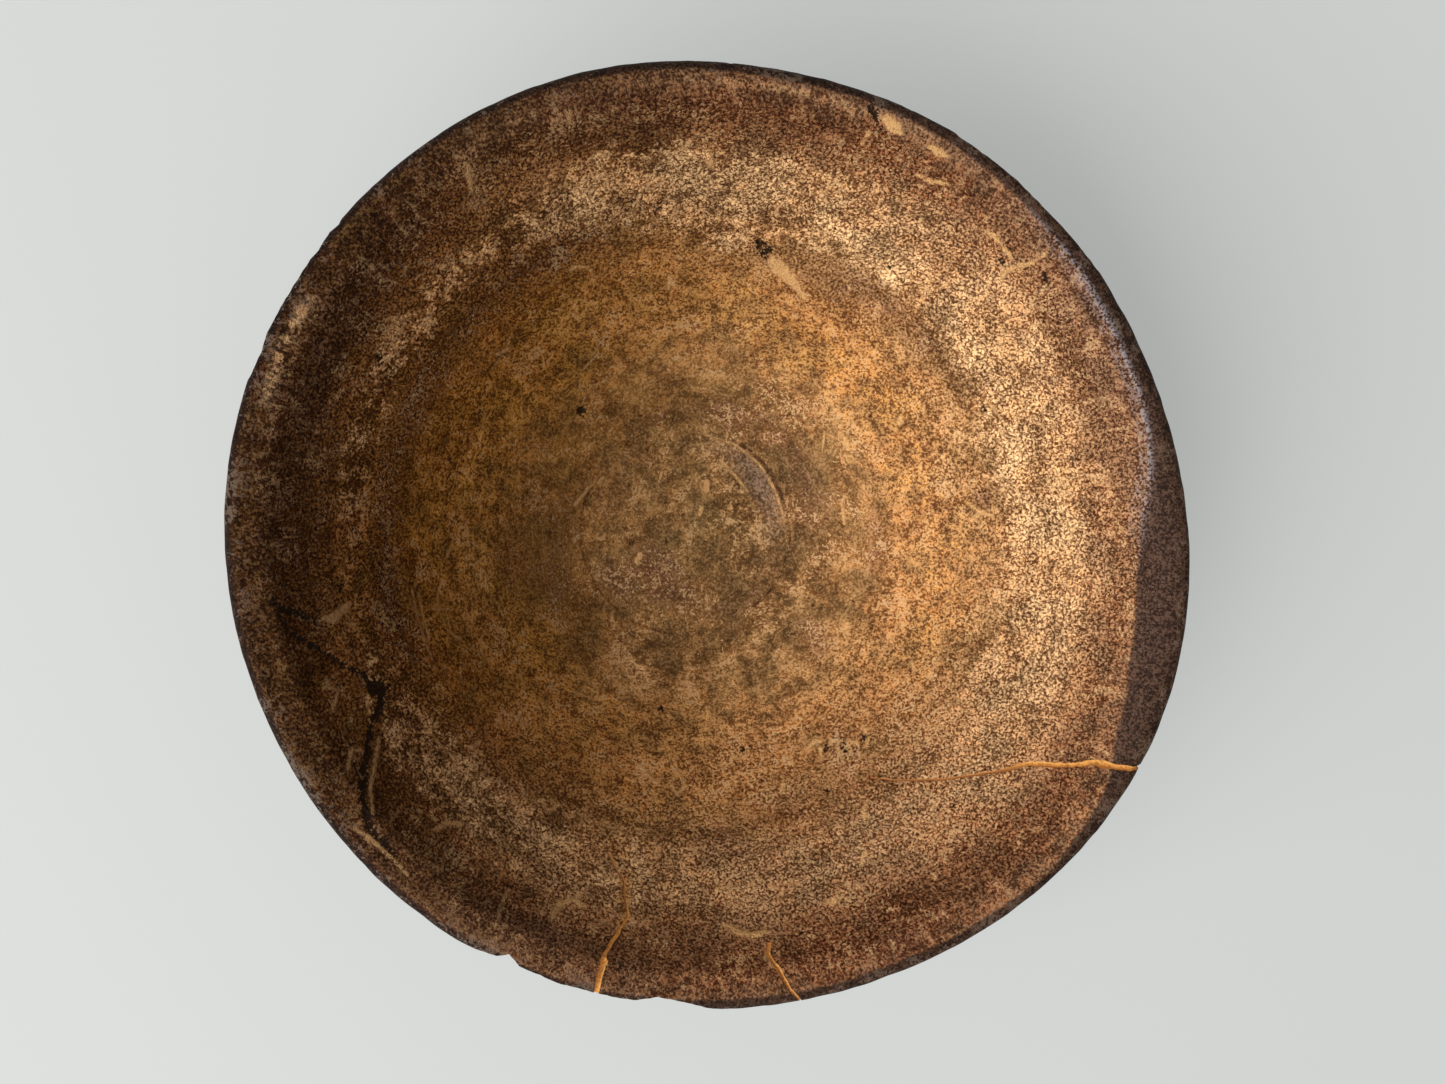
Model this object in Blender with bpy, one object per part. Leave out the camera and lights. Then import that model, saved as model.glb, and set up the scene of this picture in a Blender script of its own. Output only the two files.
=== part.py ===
"""A hand-thrown stoneware bowl, warped in firing, with a worn, broken rim and three cracks.

Metres, +Z up. The bowl stands on its foot ring at z = 0, and its rim is centred on the Z axis.
Angles are in degrees, anticlockwise from +X as seen from above.
"""

import math

import bmesh
import bpy
from mathutils import Vector

# Overall sizes.
HEIGHT = 0.058
RIM_RADIUS = 0.0865

# Lip: a rolled outer edge, then a gently sloping face in to where the wall begins.
LIP_ROLL = 0.0022
LIP_WIDTH = 0.0070
LIP_SLOPE = math.radians(18)

# Wall thickness under the lip and beside the foot, and the floor's at its centre.
WALL_AT_LIP = 0.0046
WALL_AT_FOOT = 0.0068
FLOOR = 0.0065

# How the inner wall steepens as it rises: 1 is a straight cone.
WALL_CURVE = 1.35

# Foot ring, with the shallow hollow that it encloses.
FOOT_RADIUS = 0.0280
FOOT_WIDTH = 0.0060
FOOT_RECESS = 0.0035
FOOT_CHAMFER = 0.0006
FOOT_OFFSET = (-0.0020, -0.0006)

# Well: a low step turned around the middle of the floor, which dips to its centre.
WELL_RADIUS = 0.0210
WELL_STEP = 0.0005
WELL_STEP_RUN = 0.0008
WELL_DIP = 0.0008

# The rim's outline departs from a circle by these waves: (lobes, height, direction).
RIM_WAVES = (
    (2, 0.00154, math.radians(-40)),
    (3, 0.00104, math.radians(-34.5)),
    (4, 0.00066, math.radians(-19.5)),
)
FLAT_DEPTH = 0.0043
FLAT_DIRECTION = math.radians(79.5)
FLAT_SPREAD = math.radians(29)

# The rim also rises and falls a little, and every warp fades out down to the foot.
RIM_SADDLE = 0.0007
SADDLE_DIRECTION = math.radians(57)
WARP_FADE = 1.5

# Broken stretches of the rim, each as an outline of (direction, depth in from the edge), which
# starts and ends a little outside the edge.
CHIP_LEAD = 0.0003
CHIPS = {
    "lower_left": (
        (-125.0, -CHIP_LEAD),
        (-122.0, 0.0007),
        (-120.0, 0.0014),
        (-118.8, 0.0029),
        (-117.0, 0.0017),
        (-114.0, 0.0015),
        (-111.0, 0.0013),
        (-108.0, 0.0016),
        (-104.0, 0.0013),
        (-102.0, 0.0016),
        (-99.2, 0.0029),
        (-97.0, 0.0023),
        (-95.0, 0.0018),
        (-93.0, 0.0009),
        (-89.5, -CHIP_LEAD),
    ),
    "lower_right": ((-54.5, -CHIP_LEAD), (-48.0, 0.0006), (-45.0, 0.0008), (-42.5, -CHIP_LEAD)),
    "upper_right": (
        (30.3, -CHIP_LEAD),
        (36.0, 0.0006),
        (41.5, 0.0011),
        (47.5, 0.0014),
        (51.0, 0.0011),
        (57.0, 0.0009),
        (60.3, 0.0007),
        (61.6, -CHIP_LEAD),
    ),
    "upper_nick": ((65.8, -CHIP_LEAD), (67.0, 0.0005), (69.5, -CHIP_LEAD)),
    "top_nick": ((88.5, -CHIP_LEAD), (90.0, 0.0006), (91.5, -CHIP_LEAD)),
    "upper_left": (
        (138.5, -CHIP_LEAD),
        (140.8, 0.0008),
        (142.2, 0.0003),
        (144.5, 0.0009),
        (146.9, 0.0004),
        (150.0, 0.0007),
        (153.8, 0.0006),
        (155.3, 0.0003),
        (157.3, 0.0010),
        (160.0, 0.0006),
        (162.3, -CHIP_LEAD),
    ),
}
CHIP_REACH = 0.0075
CHIP_SLANT = 0.55
CHIP_OUTER_CLEAR = 0.0045

# Cracks, each from the lip inwards: first its direction and width at the edge, then points down the
# inner wall as (share of the way up from the well, direction, width).
CRACKS = {
    "right": (
        (-29.0, 0.0011),
        (0.985, -31.5, 0.0011),
        (0.931, -33.8, 0.0010),
        (0.868, -36.1, 0.0011),
        (0.808, -40.7, 0.0006),
        (0.730, -47.0, 0.0005),
        (0.615, -55.9, 0.0004),
    ),
    "lower_left": (
        (-106.9, 0.0012),
        (0.985, -107.0, 0.0008),
        (0.936, -105.9, 0.0007),
        (0.870, -104.1, 0.0005),
        (0.776, -105.3, 0.0005),
        (0.711, -108.5, 0.0004),
    ),
    "bottom": (
        (-81.1, 0.0005),
        (0.985, -83.9, 0.0008),
        (0.955, -84.3, 0.0010),
        (0.931, -83.8, 0.0009),
    ),
}
CRACK_DEPTH = 0.0006
CRACK_DOWN_OUTSIDE = 0.35

# How finely the round form is divided.
SEGMENTS = 108
WELL_STEPS = 3
WALL_STEPS = 13
LIP_STEPS = 8
OUTSIDE_STEPS = 3

# Where the outer wall meets the underside of the lip, and how far cutters stand clear.
WALL_TOP_SHARE = 0.985
LIP_UNDERCUT = 0.85
CUTTER_CLEAR = 0.0015


def clear_scene():
    for item in list(bpy.data.objects):
        bpy.data.objects.remove(item, do_unlink=True)


def glaze_material():
    """Dull brown glaze over a buff body."""
    material = bpy.data.materials.new("brown_glaze")
    material.use_nodes = True
    shader = material.node_tree.nodes["Principled BSDF"]
    shader.inputs["Base Color"].default_value = (0.16, 0.075, 0.028, 1.0)
    shader.inputs["Roughness"].default_value = 0.55
    shader.inputs["Metallic"].default_value = 0.0
    return material


def rim_wave(angle):
    """How far the rim's outline lies outside its circle in this direction."""
    wave = sum(height * math.cos(lobes * (angle - way)) for lobes, height, way in RIM_WAVES)
    away = math.remainder(angle - FLAT_DIRECTION, math.tau)
    return wave - FLAT_DEPTH * math.exp(-((away / FLAT_SPREAD) ** 2))


def rim_centre():
    """The middle of the rim's outline, which the bowl is placed by."""
    turns = [math.tau * step / 720 for step in range(720)]
    spans = [
        [(RIM_RADIUS + rim_wave(turn)) * way(turn) for turn in turns] for way in (math.cos, math.sin)
    ]
    return [(max(span) + min(span)) / 2 for span in spans]


CENTRE = rim_centre()


def place(radius, height, angle):
    """The point of the warped bowl for a point of its turned form."""
    share = max(height / HEIGHT, 0.0) ** WARP_FADE
    swell = 1 + share * rim_wave(angle) / RIM_RADIUS
    lift = share * RIM_SADDLE * math.cos(2 * (angle - SADDLE_DIRECTION))
    x = FOOT_OFFSET[0] * (1 - share) - CENTRE[0] * share + radius * swell * math.cos(angle)
    y = FOOT_OFFSET[1] * (1 - share) - CENTRE[1] * share + radius * swell * math.sin(angle)
    return Vector((x, y, height + lift))


LIP_CENTRE = (RIM_RADIUS - LIP_ROLL, HEIGHT - LIP_ROLL)
WALL_TOP_RADIUS = RIM_RADIUS - LIP_WIDTH
WALL_FOOT_RADIUS = WELL_RADIUS + WELL_STEP_RUN
FLOOR_TOP = FOOT_RECESS + FLOOR
WALL_FOOT_HEIGHT = FLOOR_TOP + WELL_DIP + WELL_STEP


def lip_point(turn):
    """A point of the rolled edge, turn being its normal's lean outwards from straight up."""
    return (
        LIP_CENTRE[0] + LIP_ROLL * math.sin(turn),
        LIP_CENTRE[1] + LIP_ROLL * math.cos(turn),
    )


def wall_top_height():
    start = lip_point(-LIP_SLOPE)
    return start[1] - (start[0] - WALL_TOP_RADIUS) * math.tan(LIP_SLOPE)


def inner_wall(share):
    """A point of the inner wall, share being the way from the well to the wall's top."""
    radius = WALL_FOOT_RADIUS + share * (WALL_TOP_RADIUS - WALL_FOOT_RADIUS)
    height = WALL_FOOT_HEIGHT + (wall_top_height() - WALL_FOOT_HEIGHT) * share**WALL_CURVE
    return radius, height


def wall_lean(share):
    """The inner wall's slope above level."""
    step = 0.001
    low = inner_wall(max(share - step, 0.0))
    high = inner_wall(share + step)
    return math.atan2(high[1] - low[1], high[0] - low[0])


def outer_wall(share):
    radius, height = inner_wall(share)
    thickness = WALL_AT_FOOT + (WALL_AT_LIP - WALL_AT_FOOT) * share
    lean = wall_lean(share)
    return radius + thickness * math.sin(lean), height - thickness * math.cos(lean)


def inner_profile():
    """The inside from its centre to the top of the wall, as (radius, height)."""
    parts = [step / WELL_STEPS for step in range(WELL_STEPS + 1)]
    well = [(WELL_RADIUS * part, FLOOR_TOP + WELL_DIP * part**2) for part in parts]
    return well + [inner_wall(step / WALL_STEPS) for step in range(WALL_STEPS + 1)]


def underside_turn():
    """The lean of the rolled edge's normal where its underside ends."""
    return math.pi / 2 + wall_lean(1.0) * LIP_UNDERCUT


def lip_profile():
    sweep = underside_turn() + LIP_SLOPE
    return [lip_point(sweep * step / LIP_STEPS - LIP_SLOPE) for step in range(LIP_STEPS + 1)]


def foot_join_height():
    """The height at which the outer wall has narrowed to the foot ring."""
    low, high = 0.0, 1.0
    for _ in range(40):
        middle = (low + high) / 2
        if outer_wall(middle)[0] < FOOT_RADIUS:
            low = middle
        else:
            high = middle
    return outer_wall(low)[1]


def outer_profile():
    """The outside from under the lip to the foot, the ring, and its hollow to the centre."""
    shares = [WALL_TOP_SHARE - step / WALL_STEPS for step in range(WALL_STEPS)]
    walls = [outer_wall(share) for share in shares]
    clear = [point for point in walls if point[0] > FOOT_RADIUS + FOOT_CHAMFER]
    inside = FOOT_RADIUS - FOOT_WIDTH
    return clear + [
        (FOOT_RADIUS, foot_join_height()),
        (FOOT_RADIUS, FOOT_CHAMFER),
        (FOOT_RADIUS - FOOT_CHAMFER, 0.0),
        (inside + FOOT_CHAMFER, 0.0),
        (inside, FOOT_CHAMFER),
        (inside - FOOT_CHAMFER, FOOT_RECESS),
        (0.0, FOOT_RECESS),
    ]


def turned_mesh(name, profile):
    """A closed body turned from a profile that starts and ends on the axis."""
    form = bmesh.new()
    turns = [math.tau * step / SEGMENTS for step in range(SEGMENTS)]
    first = form.verts.new(place(profile[0][0], profile[0][1], 0.0))
    last = form.verts.new(place(profile[-1][0], profile[-1][1], 0.0))
    rings = [
        [form.verts.new(place(radius, height, turn)) for turn in turns]
        for radius, height in profile[1:-1]
    ]
    for step in range(SEGMENTS):
        after = (step + 1) % SEGMENTS
        form.faces.new((first, rings[0][step], rings[0][after]))
        form.faces.new((last, rings[-1][after], rings[-1][step]))
        for ring, outer in zip(rings, rings[1:]):
            form.faces.new((ring[step], outer[step], outer[after], ring[after]))
    bmesh.ops.recalc_face_normals(form, faces=form.faces)
    mesh = bpy.data.meshes.new(name)
    form.to_mesh(mesh)
    form.free()
    return mesh


def add_object(name, mesh):
    item = bpy.data.objects.new(name, mesh)
    bpy.context.scene.collection.objects.link(item)
    return item


def add_cutter(name, rings, target):
    """A closed cutter lofted through rings of points, taken out of the target."""
    form = bmesh.new()
    loops = [[form.verts.new(point) for point in ring] for ring in rings]
    count = len(loops[0])
    for loop, following in zip(loops, loops[1:]):
        for step in range(count):
            after = (step + 1) % count
            form.faces.new((loop[step], loop[after], following[after], following[step]))
    form.faces.new(list(reversed(loops[0])))
    form.faces.new(loops[-1])
    bmesh.ops.recalc_face_normals(form, faces=form.faces)
    mesh = bpy.data.meshes.new(name)
    form.to_mesh(mesh)
    form.free()
    cutter = add_object(name, mesh)
    cutter.hide_render = True
    cutter.display_type = "WIRE"
    cut = target.modifiers.new(name, "BOOLEAN")
    cut.operation = "DIFFERENCE"
    cut.solver = "EXACT"
    cut.object = cutter


def chip_rings(outline):
    """A break through the lip, from below it to above; its face leans outwards on the way down."""
    levels = ((HEIGHT - CHIP_REACH, CHIP_SLANT), (HEIGHT + RIM_SADDLE + CUTTER_CLEAR, 1.0))
    rings = []
    for level, depth_share in levels:
        broken = [(direction, RIM_RADIUS - depth * depth_share) for direction, depth in outline]
        clear = [(direction, RIM_RADIUS + CHIP_OUTER_CLEAR) for direction, _ in reversed(outline)]
        ring = [place(radius, HEIGHT, math.radians(direction)) for direction, radius in broken + clear]
        rings.append([Vector((point.x, point.y, level)) for point in ring])
    return rings


def surface_run(points):
    """A crack's way over the bowl, as (radius, height, lean of the normal outwards, direction, width)."""
    edge_direction, edge_width = points[0]
    _, wall_direction, wall_width = points[1]
    run = []
    for step in range(OUTSIDE_STEPS):
        fade = (step + 1) / (OUTSIDE_STEPS + 1)
        share = WALL_TOP_SHARE - CRACK_DOWN_OUTSIDE * (1 - fade)
        radius, height = outer_wall(share)
        run.append((radius, height, math.pi / 2 + wall_lean(share), edge_direction, edge_width * fade))
    under = underside_turn()
    for step in range(LIP_STEPS + 1):
        turn = under - (LIP_SLOPE + under) * step / LIP_STEPS
        radius, height = lip_point(turn)
        across = max(min((RIM_RADIUS - radius) / LIP_WIDTH, 1.0), 0.0) if turn < math.pi / 2 else 0.0
        direction = edge_direction + (wall_direction - edge_direction) * across
        run.append((radius, height, turn, direction, edge_width + (wall_width - edge_width) * across))
    for share, direction, width in points[1:]:
        radius, height = inner_wall(share)
        run.append((radius, height, -wall_lean(share), direction, width))
    return run


def crack_rings(points):
    """A wedge along the crack, with its point CRACK_DEPTH under the surface."""
    run = surface_run(points)
    centres = []
    normals = []
    for radius, height, lean, direction, _ in run:
        angle = math.radians(direction)
        centre = place(radius, height, angle)
        raised = place(radius + CUTTER_CLEAR * math.sin(lean), height + CUTTER_CLEAR * math.cos(lean), angle)
        centres.append(centre)
        normals.append((raised - centre).normalized())
    rings = []
    for index, (centre, normal) in enumerate(zip(centres, normals)):
        before = centres[max(index - 1, 0)]
        after = centres[min(index + 1, len(centres) - 1)]
        side = normal.cross(after - before).normalized()
        half = run[index][4] / 2 * (CUTTER_CLEAR + CRACK_DEPTH) / CRACK_DEPTH
        bottom = centre - normal * CRACK_DEPTH
        top = centre + normal * CUTTER_CLEAR
        rings.append([bottom, top + side * half, top - side * half])
    return rings


def build_bowl():
    mesh = turned_mesh("bowl", inner_profile() + lip_profile() + outer_profile())
    mesh.materials.append(glaze_material())
    bowl = add_object("bowl", mesh)
    for name, outline in CHIPS.items():
        add_cutter("chip_" + name, chip_rings(outline), bowl)
    for name, points in CRACKS.items():
        add_cutter("crack_" + name, crack_rings(points), bowl)
    mesh.shade_smooth()
    mesh.set_sharp_from_angle(angle=math.radians(35))


clear_scene()
build_bowl()
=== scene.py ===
"""A worn, cracked stoneware bowl with a dull mottled brown glaze, on a pale table, seen from above.

Metres, +Z up. Directions are in degrees, anticlockwise from +X as seen from above. A point of the
inside is named by its direction and by its share of the way up the wall from the well.
"""

import math

import bmesh
import bpy
import numpy as np
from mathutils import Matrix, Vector, noise


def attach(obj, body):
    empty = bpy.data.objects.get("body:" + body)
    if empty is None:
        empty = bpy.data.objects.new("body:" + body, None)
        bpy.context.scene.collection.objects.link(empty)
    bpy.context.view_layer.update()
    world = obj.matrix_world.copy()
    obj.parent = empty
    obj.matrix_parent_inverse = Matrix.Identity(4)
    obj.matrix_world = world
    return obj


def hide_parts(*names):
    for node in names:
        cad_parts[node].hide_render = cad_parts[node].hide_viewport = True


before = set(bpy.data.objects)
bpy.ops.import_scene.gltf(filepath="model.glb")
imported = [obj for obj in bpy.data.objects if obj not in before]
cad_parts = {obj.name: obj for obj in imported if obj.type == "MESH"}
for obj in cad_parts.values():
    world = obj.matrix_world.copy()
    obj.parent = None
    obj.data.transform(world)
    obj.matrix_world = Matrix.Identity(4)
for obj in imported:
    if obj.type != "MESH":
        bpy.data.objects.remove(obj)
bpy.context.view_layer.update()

# Sizes of the turned form and of its warp, as in the solid model.

HEIGHT = 0.058
RIM_RADIUS = 0.0865
LIP_ROLL = 0.0022
LIP_WIDTH = 0.0070
LIP_SLOPE = math.radians(18)
WALL_AT_LIP = 0.0046
WALL_AT_FOOT = 0.0068
FLOOR = 0.0065
WALL_CURVE = 1.35
FOOT_RADIUS = 0.0280
FOOT_WIDTH = 0.0060
FOOT_RECESS = 0.0035
FOOT_CHAMFER = 0.0006
FOOT_OFFSET = (-0.0020, -0.0006)
WELL_RADIUS = 0.0210
WELL_STEP = 0.0005
WELL_STEP_RUN = 0.0008
WELL_DIP = 0.0008
RIM_WAVES = (
    (2, 0.00154, math.radians(-40)),
    (3, 0.00104, math.radians(-34.5)),
    (4, 0.00066, math.radians(-19.5)),
)
FLAT_DEPTH = 0.0043
FLAT_DIRECTION = math.radians(79.5)
FLAT_SPREAD = math.radians(29)
RIM_SADDLE = 0.0007
SADDLE_DIRECTION = math.radians(57)
WARP_FADE = 1.5
WALL_TOP_SHARE = 0.985
LIP_UNDERCUT = 0.85

# The glaze surface lies this far inside the solid model's.
INSET = 0.00008


def rim_wave(angle):
    wave = sum(height * np.cos(lobes * (angle - way)) for lobes, height, way in RIM_WAVES)
    away = np.remainder(angle - FLAT_DIRECTION + math.pi, math.tau) - math.pi
    return wave - FLAT_DEPTH * np.exp(-((away / FLAT_SPREAD) ** 2))


def rim_centre():
    turns = math.tau * np.arange(720) / 720
    reach = RIM_RADIUS + rim_wave(turns)
    spans = (reach * np.cos(turns), reach * np.sin(turns))
    return [(span.max() + span.min()) / 2 for span in spans]


CENTRE = rim_centre()


def place(radius, height, angle):
    """Points of the warped bowl, as rows, for points of its turned form."""
    share = np.maximum(height / HEIGHT, 0.0) ** WARP_FADE
    swell = 1 + share * rim_wave(angle) / RIM_RADIUS
    lift = share * RIM_SADDLE * np.cos(2 * (angle - SADDLE_DIRECTION))
    x = FOOT_OFFSET[0] * (1 - share) - CENTRE[0] * share + radius * swell * np.cos(angle)
    y = FOOT_OFFSET[1] * (1 - share) - CENTRE[1] * share + radius * swell * np.sin(angle)
    return np.stack(np.broadcast_arrays(x, y, height + lift), -1)


def unplace(points):
    """(radius, height, angle) of the turned form for points of the warped bowl."""
    x, y, z = points.T
    height = z.copy()
    for _ in range(4):
        share = np.maximum(height / HEIGHT, 0.0) ** WARP_FADE
        east = x - FOOT_OFFSET[0] * (1 - share) + CENTRE[0] * share
        north = y - FOOT_OFFSET[1] * (1 - share) + CENTRE[1] * share
        angle = np.arctan2(north, east)
        height = z - share * RIM_SADDLE * np.cos(2 * (angle - SADDLE_DIRECTION))
    return np.hypot(east, north) / (1 + share * rim_wave(angle) / RIM_RADIUS), height, angle


LIP_CENTRE = (RIM_RADIUS - LIP_ROLL, HEIGHT - LIP_ROLL)
WALL_TOP_RADIUS = RIM_RADIUS - LIP_WIDTH
WALL_FOOT_RADIUS = WELL_RADIUS + WELL_STEP_RUN
FLOOR_TOP = FOOT_RECESS + FLOOR
WALL_FOOT_HEIGHT = FLOOR_TOP + WELL_DIP + WELL_STEP


def lip_point(turn):
    return LIP_CENTRE[0] + LIP_ROLL * math.sin(turn), LIP_CENTRE[1] + LIP_ROLL * math.cos(turn)


def wall_top_height():
    start = lip_point(-LIP_SLOPE)
    return start[1] - (start[0] - WALL_TOP_RADIUS) * math.tan(LIP_SLOPE)


def inner_wall(share):
    radius = WALL_FOOT_RADIUS + share * (WALL_TOP_RADIUS - WALL_FOOT_RADIUS)
    height = WALL_FOOT_HEIGHT + (wall_top_height() - WALL_FOOT_HEIGHT) * share**WALL_CURVE
    return radius, height


def wall_lean(share):
    step = 0.001
    low = inner_wall(max(share - step, 0.0))
    high = inner_wall(share + step)
    return math.atan2(high[1] - low[1], high[0] - low[0])


def outer_wall(share):
    radius, height = inner_wall(share)
    thickness = WALL_AT_FOOT + (WALL_AT_LIP - WALL_AT_FOOT) * share
    lean = wall_lean(share)
    return radius + thickness * math.sin(lean), height - thickness * math.cos(lean)


def underside_turn():
    return math.pi / 2 + wall_lean(1.0) * LIP_UNDERCUT


def foot_join_share():
    low, high = 0.0, 1.0
    for _ in range(40):
        middle = (low + high) / 2
        if outer_wall(middle)[0] < FOOT_RADIUS:
            low = middle
        else:
            high = middle
    return low


def spread(first, last, steps):
    """Even steps from first to last, last left out."""
    return [first + (last - first) * step / steps for step in range(steps)]


def profile():
    """The section as (radius, height): from the inside's centre over the lip, and on down outside."""
    well = [
        (radius, FLOOR_TOP + WELL_DIP * (radius / WELL_RADIUS) ** 2)
        for radius in spread(0, WELL_RADIUS, 18)
    ]
    well_edge = FLOOR_TOP + WELL_DIP
    step = [
        (WELL_RADIUS + WELL_STEP_RUN * part, well_edge + WELL_STEP * part * part * (3 - 2 * part))
        for part in spread(0, 1, 4)
    ]
    wall = [inner_wall(share) for share in spread(0, 1, 74)]
    face_start = inner_wall(1.0)
    face_end = lip_point(-LIP_SLOPE)
    face = [
        tuple(start + (end - start) * part for start, end in zip(face_start, face_end))
        for part in spread(0, 1, 6)
    ]
    roll = [lip_point(turn) for turn in spread(-LIP_SLOPE, underside_turn(), 14)]
    outer = [outer_wall(share) for share in spread(WALL_TOP_SHARE, foot_join_share(), 20)]
    inner_edge = FOOT_RADIUS - FOOT_WIDTH
    join = outer_wall(foot_join_share())[1]
    foot = [
        (FOOT_RADIUS, join),
        (FOOT_RADIUS, (join + FOOT_CHAMFER) / 2),
        (FOOT_RADIUS, FOOT_CHAMFER),
        (FOOT_RADIUS - FOOT_CHAMFER * 0.3, FOOT_CHAMFER * 0.3),
        (FOOT_RADIUS - FOOT_CHAMFER, 0.0),
        (inner_edge + FOOT_CHAMFER, 0.0),
        (inner_edge + FOOT_CHAMFER * 0.3, FOOT_CHAMFER * 0.3),
        (inner_edge, FOOT_CHAMFER),
        (inner_edge - FOOT_CHAMFER * 0.5, FOOT_RECESS * 0.8),
        (inner_edge - FOOT_CHAMFER * 2, FOOT_RECESS),
        (inner_edge * 0.6, FOOT_RECESS),
        (inner_edge * 0.3, FOOT_RECESS),
        (0.0, FOOT_RECESS),
    ]
    return well + step + wall + face + roll, outer + foot


SEGMENTS = 432
INNER, OUTER = profile()


def bowl_mesh():
    """The closed body as a grid of rings, with a fan of triangles at each end."""
    points = INNER + OUTER
    turns = math.tau * np.arange(SEGMENTS) / SEGMENTS
    rings = [
        place(np.full(SEGMENTS, radius), np.full(SEGMENTS, height), turns)
        for radius, height in points[1:-1]
    ]
    ends = [place(np.array([0.0]), np.array([points[index][1]]), np.array([0.0])) for index in (0, -1)]
    vertices = np.concatenate([ends[0]] + rings + [ends[1]])
    form = bmesh.new()
    made = [form.verts.new(point) for point in vertices.tolist()]
    count = len(rings)
    for index in range(count - 1):
        start = 1 + index * SEGMENTS
        for step in range(SEGMENTS):
            after = (step + 1) % SEGMENTS
            corners = (start + step, start + SEGMENTS + step, start + SEGMENTS + after, start + after)
            form.faces.new([made[corner] for corner in corners])
    tail = 1 + (count - 1) * SEGMENTS
    for step in range(SEGMENTS):
        after = (step + 1) % SEGMENTS
        form.faces.new((made[0], made[1 + step], made[1 + after]))
        form.faces.new((made[-1], made[tail + after], made[tail + step]))
    return form


# Places on the inside, each as (direction, radius in millimetres of the turned form).

INNER_RADII = np.array([point[0] for point in INNER if point[0] <= LIP_CENTRE[0]][:-1] + [LIP_CENTRE[0]])
INNER_HEIGHTS = np.array([point[1] for point in INNER][: len(INNER_RADII) - 1] + [HEIGHT])


def on_inside(direction, millimetres):
    """The point of the inside in this direction at this radius."""
    radius = np.asarray(millimetres) / 1000
    return place(radius, np.interp(radius, INNER_RADII, INNER_HEIGHTS), np.radians(direction))


def away_from(points, mark):
    """Millimetres from the edge of a mark, which is a line of (direction, radius, half width)."""
    spots = [on_inside(direction, radius) for direction, radius, _ in mark]
    nearest = np.full(len(points), 1e9)
    if len(mark) == 1:
        return np.linalg.norm(points - spots[0], axis=1) * 1000 - mark[0][2]
    for (start, (_, _, near)), (end, (_, _, far)) in zip(zip(spots, mark), zip(spots[1:], mark[1:])):
        along = end - start
        part = np.clip((points - start) @ along / (along @ along), 0, 1)
        gap = np.linalg.norm(points - start - part[:, None] * along, axis=1) * 1000
        nearest = np.minimum(nearest, gap - near - (far - near) * part)
    return nearest


def field(points, marks, most=8.0):
    """The least distance from any of the marks, negative inside one."""
    nearest = np.full(len(points), most)
    for mark in marks:
        nearest = np.minimum(nearest, away_from(points, mark))
    return nearest


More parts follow.
